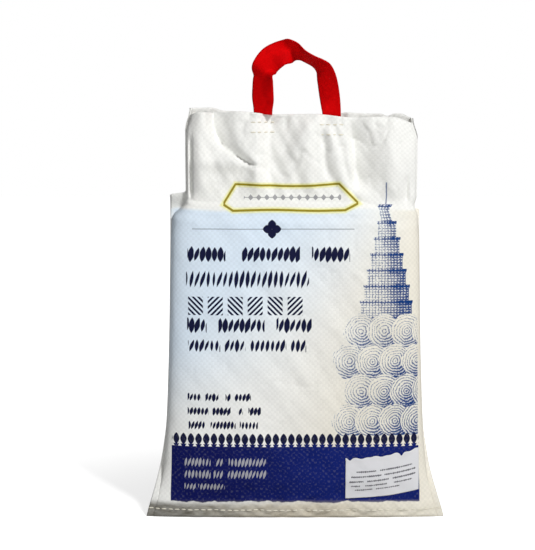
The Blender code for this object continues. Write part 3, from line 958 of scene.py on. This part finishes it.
def strap_points():
    made = settings("strap_settings")
    share = np.linspace(0, 1, STRAP_ROWS + 1)
    x, z, lean, tilt, width = strap_spline(share).T
    lean, tilt = np.radians(lean), np.radians(tilt)
    depth = along(FRONT_PROFILE, np.array([0.447]))[0] + SHIFT_Y + 2 * WALL + 0.5 * made.thickness
    middle = np.stack([x, np.full_like(x, depth), z], axis=-1)
    outwards = np.stack([np.sin(lean) * np.cos(tilt), np.sin(tilt), np.cos(lean) * np.cos(tilt)], axis=-1)
    path = np.gradient(middle, axis=0)
    path /= np.linalg.norm(path, axis=1, keepdims=True)
    facing = np.cross(path, outwards)
    facing /= np.linalg.norm(facing, axis=1, keepdims=True)
    across = np.linspace(-0.5, 0.5, STRAP_COLUMNS + 1)
    curl = 0.0016 * (1 - 4 * across[None, :] ** 2) * (0.4 + 0.6 * np.sin(share * 19.0)[:, None])
    points = middle[:, None] + outwards[:, None] * (width * made.width)[:, None, None] * across[None, :, None]
    points += facing[:, None] * curl[..., None] * np.sin(math.pi * share)[:, None, None]
    keep_inside(points, 2 * WALL + 0.5 * made.thickness)
    walked = np.concatenate([[0.0], np.cumsum(np.linalg.norm(np.diff(middle, axis=0), axis=1))])
    flat = np.stack(np.broadcast_arrays(across[None, :] * made.width, walked[:, None]), axis=-1)
    return points, flat


def strap_finish():
    made = settings("strap_settings")
    f = Finish("red webbing", 0.65, 0.03)
    x, y = f.flat_map()
    ribs = f.math("ABSOLUTE", f.math("SINE", x * (math.pi / made.rib)))
    picks = f.math("ABSOLUTE", f.math("SINE", y * (math.pi / (1.4 * made.rib))))
    rubbed_and_highlight = f.noise(x, y, 120.0, 3.0)
    # Painted highlight: lighter red in patches, from the same noise that roughens the surface.
    base = f.mix(f.ramp(rubbed_and_highlight, 0.40, 0.75) * 0.5, made.red, srgb(230, 6, 10))
    # Painted shade: darker red in patches.
    base = f.mix(f.ramp(f.noise(x, y, 45.0, 3.0), 0.46, 0.66) * 0.45, base, srgb(176, 0, 4))
    # Painted shade in the grooves between the ribs. Darker red along both edges.
    base = f.mix((1.0 - ribs) * 0.22, base, srgb(140, 0, 4))
    base = f.mix(f.ramp(f.math("ABSOLUTE", x), 0.0118, 0.0134) * 0.35, base, srgb(140, 0, 4))
    f.feed(f.shader.inputs["Base Color"], base)
    f.raise_surface(ribs * 0.6 + picks * 0.4 + rubbed_and_highlight * 0.8, 0.0004, 0.6)
    return f.material


class OBJECT_OT_rice_sack_strap(bpy.types.Operator):
    """Model the red carrying strap with its twist"""

    bl_idname = "object.rice_sack_strap"
    bl_label = "Strap"

    def execute(self, context):
        strap = shape_sheet("strap_webbing", *strap_points())
        wall = strap.modifiers.new("thickness", "SOLIDIFY")
        wall.thickness = settings("strap_settings").thickness
        wall.offset = 0.0
        bpy.ops.object.modifier_apply(modifier=wall.name)
        finish_piece(strap, strap_finish(), "strap_webbing", "strap")
        return {"FINISHED"}


# ---------------------------------------------------------------------------------------------------------
# The label
# ---------------------------------------------------------------------------------------------------------

LABEL_COLUMNS = 96
LABEL_ROWS = 56
LABEL_RISE = 0.010  # the right end sits higher, where the panel turns round the side
LABEL_HEIGHT = 0.046
LABEL_MARKS = (
    (((0.012, 0.034), (0.038, 0.074)), 0.0290, 0.0314, 0.0021, 0.56),
    (((0.006, 0.040), (0.043, 0.078)), 0.0235, 0.0259, 0.0021, 0.56),
    (((0.004, 0.020), (0.024, 0.048), (0.052, 0.078)), 0.0180, 0.0204, 0.0021, 0.56),
    (((0.006, 0.016), (0.022, 0.046), (0.054, 0.074)), 0.0130, 0.0152, 0.0021, 0.54),
    (((0.010, 0.030), (0.034, 0.060)), 0.0084, 0.0104, 0.0021, 0.50),
)


def label_points():
    made = settings("label_settings")
    surface = cloth_surface()
    across = np.linspace(0, 1, LABEL_COLUMNS + 1)
    up = np.linspace(0, 1, LABEL_ROWS + 1)
    notch = 0.0030 * bump(across, 0.055, 0.030) + 0.0032 * bump(across, 0.76, 0.022)
    wave = 0.0006 * np.sin(across * 21.0) + 0.0004 * np.sin(across * 47.0 + 1.0)
    points = np.zeros((LABEL_ROWS + 1, LABEL_COLUMNS + 1, 3))
    flat = np.zeros((LABEL_ROWS + 1, LABEL_COLUMNS + 1, 2))
    width = LABEL_HIGH.x - LABEL_LOW.x
    for i, v in enumerate(up):
        for j, u in enumerate(across):
            top = LABEL_HEIGHT + (wave[j] - notch[j]) * v
            x = LABEL_LOW.x + width * u
            z = LABEL_LOW.z + LABEL_RISE * u ** 2 + top * v
            proud = made.lift + 0.0006 * max(0.0, v - 0.9) / 0.1 * (0.5 + 0.5 * math.sin(u * 17.0))
            points[i, j] = on_cloth(surface, x, z, -1, proud)[0]
            flat[i, j] = (width * u, top * v)
    points[..., 1] = smooth_sheet(points[..., 1], 6)
    return points, flat


def smooth_sheet(values, rounds):
    """Evens out a grid of depths as stiff paper does over small lumps, without sinking into the cloth."""
    sheet = values.copy()
    for _ in range(rounds):
        padded = np.pad(sheet, 1, mode="edge")
        mean = 0.25 * (padded[:-2, 1:-1] + padded[2:, 1:-1] + padded[1:-1, :-2] + padded[1:-1, 2:])
        sheet = np.minimum(mean, values)
    return sheet


def label_finish():
    made = settings("label_settings")
    f = Finish("label paper", 0.36, 0.5)
    x, y = f.flat_map()
    marks = 0.0
    for number, row in enumerate(LABEL_MARKS):
        row_marks = grain_row(f, x, y, *row, 200.5 + 10.0 * number)
        marks = row_marks if number == 0 else f.highest(marks, row_marks)
    base = f.mix(f.noise(x, y, 40.0, 2.0) * 0.25, made.paper, srgb(222, 222, 226))
    f.feed(f.shader.inputs["Base Color"], f.mix(marks * 0.85, base, made.ink))
    f.raise_surface(f.noise(x, y, 60.0, 3.0), 0.0006, 0.5)
    return f.material


class OBJECT_OT_rice_sack_label(bpy.types.Operator):
    """Model the paper label on the lower right of the front"""

    bl_idname = "object.rice_sack_label"
    bl_label = "Label"

    def execute(self, context):
        label = shape_sheet("label_paper", *label_points())
        wall = label.modifiers.new("thickness", "SOLIDIFY")
        wall.thickness = settings("label_settings").thickness
        wall.offset = 1.0
        bpy.ops.object.modifier_apply(modifier=wall.name)
        finish_piece(label, label_finish(), "label_paper", "label")
        return {"FINISHED"}


# ---------------------------------------------------------------------------------------------------------
# Sewing thread
# ---------------------------------------------------------------------------------------------------------

STITCH = (0.0060, 0.0016, 0.0016)  # length, height and depth of one stitch
HEM_STITCH_PITCH = 0.0072
HEM_STITCH_HEIGHT = 0.0092
STRAP_SEAMS = ((-0.0360, 0.0105), (0.0400, 0.0105))  # middle and half width of the rows that hold the strap
STRAP_SEAM_HEIGHTS = (0.4260, 0.4370)
STRAP_SEAM_STITCHES = 4


def one_stitch():
    deselect()
    bpy.ops.mesh.primitive_uv_sphere_add(segments=8, ring_count=6, radius=0.5)
    stitch = bpy.context.object
    stitch.dimensions = STITCH
    bpy.ops.object.transform_apply(location=False, rotation=False, scale=True)
    return stitch


def thread_places():
    surface = cloth_surface()
    level = np.array([HEM_STITCH_HEIGHT])
    section = section_half_width(level)[0]
    half = section + fin_length(level, 1, EAR_TOPS[1])[0] - 0.003
    count = int(2 * half / HEM_STITCH_PITCH)
    for side in (-1, 1):
        for k in range(count + 1):
            x = -half + 2 * half * k / count
            if side < 0 or abs(x) < section - 0.004:
                yield on_cloth(surface, x, HEM_STITCH_HEIGHT, side)
    for middle, reach in STRAP_SEAMS:
        for z in STRAP_SEAM_HEIGHTS:
            for k in range(STRAP_SEAM_STITCHES):
                yield on_cloth(surface, middle + reach * (k / 1.5 - 1), z + COLLAR_TILT * middle, -1)


def thread_finish():
    f = Finish("sewing thread", 0.6, 0.3)
    spot = f.node("ShaderNodeTexCoord")
    wave = f.node("ShaderNodeTexWave", bands_direction="DIAGONAL")
    f.tree.links.new(spot.outputs["Object"], wave.inputs["Vector"])
    wave.inputs["Scale"].default_value = 500.0
    ply = Value(f, wave.outputs["Fac"])
    f.feed(f.shader.inputs["Base Color"], f.mix(ply * 0.5, srgb(240, 236, 220), srgb(205, 198, 178)))
    f.raise_surface(ply, 0.0002, 0.6)
    return f.material


class OBJECT_OT_rice_sack_thread(bpy.types.Operator):
    """Sew the hem and the strap's ends"""

    bl_idname = "object.rice_sack_thread"
    bl_label = "Sewing thread"

    def execute(self, context):
        first = one_stitch()
        copies = []
        for place, normal in thread_places():
            stitch = first.copy()
            stitch.data = first.data.copy()
            context.collection.objects.link(stitch)
            stitch.rotation_mode = "QUATERNION"
            stitch.rotation_quaternion = normal.to_track_quat("Y", "Z")
            stitch.location = place
            copies.append(stitch)
        bpy.data.objects.remove(first)
        deselect()
        for stitch in copies:
            stitch.select_set(True)
        context.view_layer.objects.active = copies[0]
        bpy.ops.object.join()
        thread = context.object
        thread.name = "sewing_thread"
        thread.rotation_mode = "XYZ"
        finish_piece(thread, thread_finish(), "woven_cloth")
        return {"FINISHED"}


# ---------------------------------------------------------------------------------------------------------
# The stage
# ---------------------------------------------------------------------------------------------------------

VIEW_HEIGHT = 0.616  # the height of the picture at the sack's distance
VIEW_CENTRE = Vector((-0.0308, 0.0, 0.2677))
WORLD_STRENGTH = 0.12
FLOOR_SIZE = 12.0
FLOOR_GAP = 0.0005  # between the floor and the sack's foot
LAMP_AIM = Vector((0.0, 0.0, 0.25))
KEY_LAMP = ((1.22, -2.12, 2.31), 0.5, 80.0)  # place, side of the square lamp, and watts
FILL_LAMP = ((-1.9, -1.8, 0.9), 1.4, 4.0)
FLOOR_LIFT = 0.70  # light added, for the camera only, to the floor by the sack
FLOOR_FADE = (0.15, 0.55)  # distances over which the floor fades to pure white


def backdrop_finish():
    """A plain pale floor. The camera sees it lifted to white, with the sack's shadow kept."""
    f = Finish("pale floor", 0.9, 0.0)
    f.shader.inputs["Base Color"].default_value = (0.86, 0.86, 0.86, 1.0)
    glow = f.node("ShaderNodeEmission")
    path = f.node("ShaderNodeLightPath")
    spot = f.node("ShaderNodeVectorMath", operation="LENGTH")
    f.tree.links.new(f.node("ShaderNodeTexCoord").outputs["Object"], spot.inputs[0])
    lift = f.ramp(Value(f, spot.outputs["Value"]), *FLOOR_FADE) * (1.0 - FLOOR_LIFT) + FLOOR_LIFT
    f.feed(glow.inputs["Strength"], Value(f, path.outputs["Is Camera Ray"]) * lift)
    both = f.node("ShaderNodeAddShader")
    f.feed(both.inputs[0], f.shader.outputs[0])
    f.feed(both.inputs[1], glow.outputs[0])
    f.feed(f.tree.nodes["Material Output"].inputs["Surface"], both.outputs[0])
    return f.material


def add_lamp(name, place, side, power):
    data = bpy.data.lights.new(name, "AREA")
    data.shape = "RECTANGLE"
    data.size = side
    data.size_y = side
    data.energy = power
    lamp = bpy.data.objects.new(name, data)
    bpy.context.scene.collection.objects.link(lamp)
    lamp.location = place
    lamp.rotation_euler = (LAMP_AIM - Vector(place)).to_track_quat("-Z", "Y").to_euler()
    return lamp


def white_world(strength):
    """Even white light, and a pure white view behind the sack."""
    world = bpy.data.worlds.new("studio")
    bpy.context.scene.world = world
    world.use_nodes = True
    tree = world.node_tree
    light = tree.nodes["Background"]
    light.inputs["Color"].default_value = (1.0, 1.0, 1.0, 1.0)
    light.inputs["Strength"].default_value = strength
    seen = tree.nodes.new("ShaderNodeBackground")
    seen.inputs["Color"].default_value = (1.0, 1.0, 1.0, 1.0)
    seen.inputs["Strength"].default_value = 1.0
    path = tree.nodes.new("ShaderNodeLightPath")
    choose = tree.nodes.new("ShaderNodeMixShader")
    tree.links.new(path.outputs["Is Camera Ray"], choose.inputs["Fac"])
    tree.links.new(light.outputs[0], choose.inputs[1])
    tree.links.new(seen.outputs[0], choose.inputs[2])
    tree.links.new(choose.outputs[0], tree.nodes["World Output"].inputs["Surface"])


class SCENE_OT_rice_sack_stage(bpy.types.Operator):
    """Set the floor, the lamps and the camera"""

    bl_idname = "scene.rice_sack_stage"
    bl_label = "Stage"

    def execute(self, context):
        made = settings("stage_settings")
        deselect()
        bpy.ops.mesh.primitive_plane_add(size=FLOOR_SIZE, location=(0.0, 0.0, -FLOOR_GAP))
        floor = context.object
        floor.name = "floor"
        bpy.ops.object.transform_apply(location=True, rotation=True, scale=True)
        floor.data.materials.append(backdrop_finish())
        white_world(WORLD_STRENGTH)
        add_lamp("key", *KEY_LAMP)
        add_lamp("fill", *FILL_LAMP)
        lens = bpy.data.cameras.new("camera")
        lens.sensor_fit = "VERTICAL"
        lens.angle = 2 * math.atan(0.5 * VIEW_HEIGHT / made.distance)
        camera = bpy.data.objects.new("camera", lens)
        context.scene.collection.objects.link(camera)
        back = Vector((0.0, -math.cos(made.elevation), math.sin(made.elevation)))
        camera.location = VIEW_CENTRE + back * made.distance
        camera.rotation_euler = (-back).to_track_quat("-Z", "Y").to_euler()
        context.scene.camera = camera
        context.scene.view_settings.view_transform = "Standard"
        return {"FINISHED"}


# ---------------------------------------------------------------------------------------------------------
# The panel, and running it all
# ---------------------------------------------------------------------------------------------------------

class VIEW3D_PT_rice_sack(bpy.types.Panel):
    bl_label = "Rice sack"
    bl_space_type = "VIEW_3D"
    bl_region_type = "UI"
    bl_category = "Rice sack"

    def draw(self, context):
        for name in SETTINGS:
            box = self.layout.box()
            group = settings(name)
            for key in group.bl_rna.properties.keys():
                if key not in ("rna_type", "name"):
                    box.prop(group, key)
        for operator in OPERATORS:
            self.layout.operator(operator.bl_idname)


SETTINGS = {
    "sack_settings": SackSettings,
    "strap_settings": StrapSettings,
    "label_settings": LabelSettings,
    "stage_settings": StageSettings,
}
OPERATORS = (
    OBJECT_OT_rice_sack_cloth,
    OBJECT_OT_rice_sack_strap,
    OBJECT_OT_rice_sack_label,
    OBJECT_OT_rice_sack_thread,
    SCENE_OT_rice_sack_stage,
)


def register():
    for name, group in SETTINGS.items():
        bpy.utils.register_class(group)
        setattr(bpy.types.Scene, name, bpy.props.PointerProperty(type=group))
    for operator in OPERATORS:
        bpy.utils.register_class(operator)
    bpy.utils.register_class(VIEW3D_PT_rice_sack)


def unregister():
    bpy.utils.unregister_class(VIEW3D_PT_rice_sack)
    for operator in reversed(OPERATORS):
        bpy.utils.unregister_class(operator)
    for name, group in SETTINGS.items():
        delattr(bpy.types.Scene, name)
        bpy.utils.unregister_class(group)


def main():
    register()
    bpy.ops.object.rice_sack_cloth()
    bpy.ops.object.rice_sack_strap()
    bpy.ops.object.rice_sack_label()
    bpy.ops.object.rice_sack_thread()
    bpy.ops.scene.rice_sack_stage()


if __name__ == "__main__":
    main()
